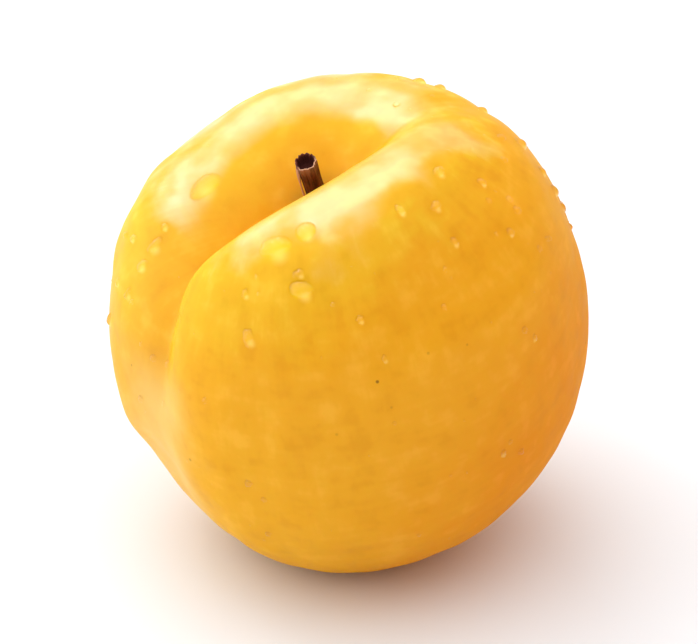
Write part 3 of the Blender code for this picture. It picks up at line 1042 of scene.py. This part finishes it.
def drop_mesh(middle, across, down, twist, rings, sides, draw):
    """Points and faces of one drop, a dome on the skin, and how much painted shade darkens its edge at
    each point.
    """
    lit_from = in_fruit_axes(LIT_FROM)
    here = skin_along(unit(middle))
    side, slope, normal = drop_axes(here, twist)
    around = 2.0 * math.pi * np.arange(sides) / sides
    uneven_edge = 1.0 + sum(
        draw.uniform(0.0, 0.07) * np.sin(waves * around + draw.uniform(0.0, PHASES))
        for waves in (2, 3, 5)
    )
    height = DROP_HEIGHT * (across + down)
    points, faces, shaded_rim = [], [], []
    facing = np.cos(around) * (side @ lit_from) + np.sin(around) * (slope @ lit_from)
    for ring in range(1, rings + 2):
        share = min(ring / rings, 1.0)
        shaded_rim += list(ease(0.55, 1.0, share) * np.clip(0.35 + 0.9 * facing, 0.0, 1.0))
        flat = share * uneven_edge
        offset = np.outer(np.cos(around) * flat * across / 2.0, side)
        offset += np.outer(np.sin(around) * flat * down / 2.0, slope)
        base = here + offset
        base = skin_along(base / np.linalg.norm(base, axis=1)[:, None])
        rise = height * (1.0 - share**2) ** 0.75
        sag = 1.0 + 0.25 * np.sin(around) * share
        if ring > rings:
            rise, sag = -EDGE_SINKS, 1.0
        points.append(base + np.outer(np.full(sides, rise) * sag, normal))
    points = list(np.vstack(points))
    top, bottom = len(points), len(points) + 1
    points += [here + normal * height, here - normal * EDGE_SINKS]
    shaded_rim += [0.0, 0.0]
    for ring in range(rings):
        faces += belt(ring * sides, (ring + 1) * sides, sides)
    last = rings * sides
    faces += [(top, i, (i + 1) % sides) for i in range(sides)]
    faces += [(last + (i + 1) % sides, last + i, bottom) for i in range(sides)]
    return points, faces, shaded_rim


def paint_water(name):
    """Clear water with painted shade: tinted darker at the edge that faces the light."""
    material = bpy.data.materials.new(name)
    shader = Shader(material)
    colour = shader.blend(shader.marked("shaded_rim") * EDGE_SHADE_SHARE, opaque(WHITE), opaque(EDGE_SHADE_TINT))
    surface = shader.node(
        "ShaderNodeBsdfPrincipled",
        None,
        {
            "Base Color": colour,
            "Roughness": 0.0,
            "IOR": 1.33,
            "Transmission Weight": 1.0,
        },
    )
    shader.finish(surface)
    return material


class PLUM_OT_drops(bpy.types.Operator):
    """Puts water drops on the skin"""

    bl_idname = "plum.drops"
    bl_label = "Add Water Drops"

    def execute(self, context):
        settings = context.scene.plum_drops
        matrix, _ = stand(context.scene.plum_fruit.width)
        draw = np.random.RandomState(DROP_SEED)
        big, small = [], []
        for polar, turn, across, down, twist in PLACED_DROPS:
            way = directions(np.radians(polar), np.radians(turn))
            drops = big if max(across, down) > BIG_DROP else small
            drops.append(drop_mesh(way, across, down, twist, PLACED_RINGS, PLACED_SIDES, draw))
        wettest, up = in_fruit_axes(WET_WAY), np.array(lean())[2]
        while len(small) + len(big) < settings.count + len(PLACED_DROPS):
            way = unit(draw.normal(size=3))
            chance = 0.08 + 0.92 * max(way @ wettest, 0.0) ** 6
            if draw.uniform() > chance or way[2] > CAVITY_MOUTH or up @ way < UNDERSIDE:
                continue
            across = settings.widest * (0.22 + 0.78 * draw.uniform() ** 3)
            down = across * draw.uniform(0.9, 1.4)
            small.append(drop_mesh(way, across, down, 0.0, SCATTERED_RINGS, SCATTERED_SIDES, draw))
        water = paint_water("water")
        for name, drops in (("water_drops", big), ("fine_drops", small)):
            points, faces, shaded_rim = [], [], []
            for drop_points, drop_faces, drop_rim in drops:
                start = len(points)
                points.extend(drop_points)
                shaded_rim.extend(drop_rim)
                faces.extend(tuple(start + index for index in face) for face in drop_faces)
            made = add_piece(name, points, faces, matrix)
            mark(made, "shaded_rim", shaded_rim)
            made.data.materials.append(water)
            made.visible_shadow = False  # clear water lets the light through to the skin
            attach(made, BODY)
        return {"FINISHED"}


# --- stage ---


def look_at(location, target):
    """A place that looks at the target."""
    turn = (Vector(target) - Vector(location)).to_track_quat("-Z", "Y")
    return Matrix.Translation(location) @ turn.to_matrix().to_4x4()


def add_softbox(name, power, size, location, target, colour):
    """A square softbox."""
    light = bpy.data.lights.new(name, "AREA")
    light.energy = power
    light.size = size
    light.color = colour
    made = bpy.data.objects.new(name, light)
    bpy.context.scene.collection.objects.link(made)
    made.matrix_world = look_at(location, target)


def paint_floor(settings, name):
    """Plain pale floor."""
    material = bpy.data.materials.new(name)
    shader = Shader(material)
    surface = shader.node(
        "ShaderNodeBsdfPrincipled",
        None,
        {"Base Color": opaque(settings.floor), "Roughness": 0.7, "Specular IOR Level": 0.2},
    )
    shader.finish(surface)
    return material


def light_surround(brightness):
    """Soft light from all round, and plain white where the camera looks past the floor."""
    world = bpy.data.worlds.new("pale surroundings")
    bpy.context.scene.world = world
    shader = Shader(world)
    way = shader.node("ShaderNodeTexCoord", output="Generated")
    light = (0.0, 0.0, 0.0)
    for direction, colour in SURROUND:
        facing = shader.vector("DOT_PRODUCT", way, direction, output=1).math("MAXIMUM", 0.0)
        sockets = {0: colour, "Scale": facing * facing}
        glow = shader.node("ShaderNodeVectorMath", {"operation": "SCALE"}, sockets)
        light = shader.vector("ADD", light, glow)
    seen = shader.node("ShaderNodeLightPath", output="Is Camera Ray")
    colour = shader.blend(seen, light, opaque(WHITE))
    strength = brightness + seen * (1.0 - brightness)
    background = shader.node("ShaderNodeBackground", None, {"Color": colour, "Strength": strength})
    shader.node("ShaderNodeOutputWorld", None, {"Surface": background})


class PLUM_OT_stage(bpy.types.Operator):
    """Sets the floor, the light and the camera"""

    bl_idname = "plum.stage"
    bl_label = "Set Stage"

    def execute(self, context):
        settings = context.scene.plum_stage
        low, high = CAD_BOUNDS
        middle = (Vector(low) + Vector(high)) / 2.0
        mesh = bpy.data.meshes.new("floor")
        sides = ((-1.0, -1.0), (1.0, -1.0), (1.0, 1.0), (-1.0, 1.0))
        corners = [(x * FLOOR_SPREAD, y * FLOOR_SPREAD, 0.0) for x, y in sides]
        mesh.from_pydata(corners, [], [(0, 1, 2, 3)])
        mesh.materials.append(paint_floor(settings, "pale floor"))
        floor = bpy.data.objects.new("floor", mesh)
        context.scene.collection.objects.link(floor)
        for name, share, size, place in SOFTBOXES:
            add_softbox(name, settings.light * share, size, place, middle, WHITE)
        size, place, colour = BOUNCE
        add_softbox("warm bounce", settings.bounce, size, place, middle, colour)
        light_surround(settings.sky)

        camera = bpy.data.objects.new("camera", bpy.data.cameras.new("camera"))
        context.scene.collection.objects.link(camera)
        camera.data.lens = CAMERA_LENS
        camera.data.sensor_width = SENSOR_WIDTH
        back = Vector((0.0, -math.cos(settings.height), math.sin(settings.height)))
        camera.matrix_world = look_at(middle + back * settings.distance, middle)
        context.scene.camera = camera
        context.scene.view_settings.view_transform = "Standard"
        return {"FINISHED"}


# --- panel and registration ---


class PLUM_PT_panel(bpy.types.Panel):
    """Lists the pieces of the plum and their settings"""

    bl_idname = "PLUM_PT_panel"
    bl_label = "Yellow Plum"
    bl_space_type = "VIEW_3D"
    bl_region_type = "UI"
    bl_category = "Plum"

    def draw(self, context):
        for operator, settings in STEPS:
            box = self.layout.box()
            box.operator(operator.bl_idname)
            group = getattr(context.scene, settings)
            for name in group.__annotations__:
                box.prop(group, name)


STEPS = (
    (PLUM_OT_fruit, "plum_fruit"),
    (PLUM_OT_stalk, "plum_stalk"),
    (PLUM_OT_drops, "plum_drops"),
    (PLUM_OT_stage, "plum_stage"),
)
GROUPS = {
    "plum_fruit": PlumFruitSettings,
    "plum_stalk": PlumStalkSettings,
    "plum_drops": PlumDropSettings,
    "plum_stage": PlumStageSettings,
}


def register():
    for name, group in GROUPS.items():
        bpy.utils.register_class(group)
        setattr(bpy.types.Scene, name, bpy.props.PointerProperty(type=group))
    for operator, _ in STEPS:
        bpy.utils.register_class(operator)
    bpy.utils.register_class(PLUM_PT_panel)


def unregister():
    bpy.utils.unregister_class(PLUM_PT_panel)
    for operator, _ in reversed(STEPS):
        bpy.utils.unregister_class(operator)
    for name, group in reversed(GROUPS.items()):
        delattr(bpy.types.Scene, name)
        bpy.utils.unregister_class(group)


def main():
    """Builds every piece."""
    register()
    bpy.ops.plum.fruit()
    bpy.ops.plum.stalk()
    bpy.ops.plum.drops()
    bpy.ops.plum.stage()


if __name__ == "__main__":
    main()
